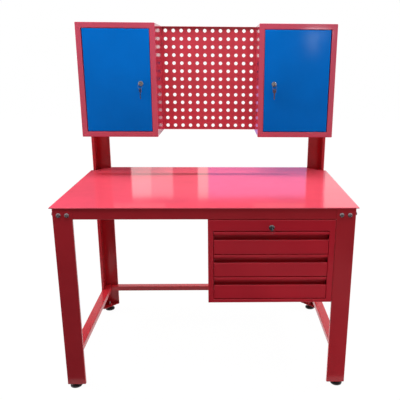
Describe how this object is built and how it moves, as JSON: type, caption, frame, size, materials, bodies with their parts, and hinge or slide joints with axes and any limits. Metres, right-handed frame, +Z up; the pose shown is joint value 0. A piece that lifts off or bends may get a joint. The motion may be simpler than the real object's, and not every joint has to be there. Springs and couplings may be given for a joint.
{
  "type": "workbench",
  "caption": "Steel workbench with a thin top on angle legs, a hanging drawer unit with folded finger pulls, and wall cabinets with a peg panel on rear posts.",
  "frame": {"origin": "on the floor, in the middle of the bounding box in X and Y", "axes": "+X to the right along the bench, +Y from the front to the rear, +Z up"},
  "size_m": [1.2, 0.783, 1.5085],
  "materials": {
    "red_paint": "gloss powder coat",
    "blue_paint": "gloss powder coat",
    "black_plastic": "matte moulded",
    "zinc": "bright zinc plated",
    "lock_steel": "nickel plated"
  },
  "bodies": {
    "bench": {"worktop": "red_paint", "front_apron": "red_paint", "rear_apron": "red_paint", "apron_left": "red_paint", "apron_right": "red_paint", "leg_front_left": "red_paint", "leg_front_right": "red_paint", "post_rear_left": "red_paint", "post_rear_right": "red_paint", "foot_plates": "red_paint", "head_plates": "red_paint", "rear_stretcher": "red_paint", "side_stretcher_left": "red_paint", "side_stretcher_right": "red_paint", "unit_rails": "red_paint", "unit_shell": "red_paint", "unit_back": "red_paint", "slide_brackets": "red_paint", "cabinet_left_shell": "red_paint", "cabinet_right_shell": "red_paint", "cabinet_left_back": "red_paint", "cabinet_right_back": "red_paint", "cabinet_left_shelf": "red_paint", "cabinet_right_shelf": "red_paint", "shelf_brackets": "red_paint", "peg_panel": "red_paint", "frame_bolts": "zinc", "frame_nuts": "zinc", "slides_fixed": "zinc", "hinge_pins": "zinc", "panel_screws": "zinc", "unit_lock_housing": "lock_steel"},
    "drawer_bottom": {"drawer_bottom_front": "red_paint", "drawer_bottom_tray": "red_paint", "drawer_bottom_runners": "zinc"},
    "drawer_middle": {"drawer_middle_front": "red_paint", "drawer_middle_tray": "red_paint", "drawer_middle_runners": "zinc"},
    "drawer_top": {"drawer_top_front": "red_paint", "drawer_top_tray": "red_paint", "drawer_top_runners": "zinc"},
    "slide_bottom": {"slide_bottom_middle": "zinc"},
    "slide_middle": {"slide_middle_middle": "zinc"},
    "slide_top": {"slide_top_middle": "zinc"},
    "left_door": {"door_left": "blue_paint", "door_left_lock_housing": "lock_steel"},
    "right_door": {"door_right": "blue_paint", "door_right_lock_housing": "lock_steel"},
    "left_lock": {"door_left_lock_core": "lock_steel"},
    "right_lock": {"door_right_lock_core": "lock_steel"},
    "unit_lock": {"unit_lock_core": "lock_steel"},
    "left_spare_key": {"door_left_spare_key": "lock_steel"},
    "right_spare_key": {"door_right_spare_key": "lock_steel"},
    "unit_key_ring": {"unit_key_ring": "lock_steel"},
    "foot_front_left": {"foot_front_left": "black_plastic"},
    "foot_front_right": {"foot_front_right": "black_plastic"},
    "foot_rear_left": {"foot_rear_left": "black_plastic"},
    "foot_rear_right": {"foot_rear_right": "black_plastic"}
  },
  "joints": [
    {"name": "drawer_bottom_slide", "type": "slide", "parent": "bench", "child": "drawer_bottom", "axis": [0, -1, 0], "range_m": [0, 0.45]},
    {"name": "runner_bottom_slide", "type": "slide", "parent": "bench", "child": "slide_bottom", "axis": [0, -1, 0], "range_m": [0, 0.225]},
    {"name": "drawer_middle_slide", "type": "slide", "parent": "bench", "child": "drawer_middle", "axis": [0, -1, 0], "range_m": [0, 0.45]},
    {"name": "runner_middle_slide", "type": "slide", "parent": "bench", "child": "slide_middle", "axis": [0, -1, 0], "range_m": [0, 0.225]},
    {"name": "drawer_top_slide", "type": "slide", "parent": "bench", "child": "drawer_top", "axis": [0, -1, 0], "range_m": [0, 0.45]},
    {"name": "runner_top_slide", "type": "slide", "parent": "bench", "child": "slide_top", "axis": [0, -1, 0], "range_m": [0, 0.225]},
    {"name": "left_door_hinge", "type": "hinge", "parent": "bench", "child": "left_door", "pos_m": [-0.547, 0.1275, 1.256], "axis": [0, 0, -1], "range_deg": [0, 105]},
    {"name": "left_lock_turn", "type": "hinge", "parent": "left_door", "child": "left_lock", "pos_m": [-0.3025, 0.1215, 1.246], "axis": [0, 1, 0], "range_deg": [0, 90]},
    {"name": "left_spare_key_swing", "type": "hinge", "parent": "left_lock", "child": "left_spare_key", "pos_m": [-0.3025, 0.0955, 1.2444], "axis": [1, 0, 0], "range_deg": [-75, 15]},
    {"name": "right_door_hinge", "type": "hinge", "parent": "bench", "child": "right_door", "pos_m": [0.547, 0.1275, 1.256], "axis": [0, 0, 1], "range_deg": [0, 105]},
    {"name": "right_lock_turn", "type": "hinge", "parent": "right_door", "child": "right_lock", "pos_m": [0.3025, 0.1215, 1.246], "axis": [0, -1, 0], "range_deg": [0, 90]},
    {"name": "right_spare_key_swing", "type": "hinge", "parent": "right_lock", "child": "right_spare_key", "pos_m": [0.3025, 0.0955, 1.2444], "axis": [1, 0, 0], "range_deg": [-75, 15]},
    {"name": "unit_lock_turn", "type": "hinge", "parent": "bench", "child": "unit_lock", "pos_m": [0.26025, -0.3605, 0.721], "axis": [0, 1, 0], "range_deg": [0, 90]},
    {"name": "unit_key_ring_swing", "type": "hinge", "parent": "unit_lock", "child": "unit_key_ring", "pos_m": [0.26025, -0.3865, 0.7194], "axis": [1, 0, 0], "range_deg": [-75, 15]},
    {"name": "foot_front_left_screw", "type": "slide", "parent": "bench", "child": "foot_front_left", "axis": [0, 0, -1], "range_m": [0, 0.015]},
    {"name": "foot_front_right_screw", "type": "slide", "parent": "bench", "child": "foot_front_right", "axis": [0, 0, -1], "range_m": [0, 0.015]},
    {"name": "foot_rear_left_screw", "type": "slide", "parent": "bench", "child": "foot_rear_left", "axis": [0, 0, -1], "range_m": [0, 0.015]},
    {"name": "foot_rear_right_screw", "type": "slide", "parent": "bench", "child": "foot_rear_right", "axis": [0, 0, -1], "range_m": [0, 0.015]}
  ],
  "couplings": [
    {"joint": "runner_bottom_slide", "follows": "drawer_bottom_slide", "ratio": 0.5},
    {"joint": "runner_middle_slide", "follows": "drawer_middle_slide", "ratio": 0.5},
    {"joint": "runner_top_slide", "follows": "drawer_top_slide", "ratio": 0.5}
  ]
}
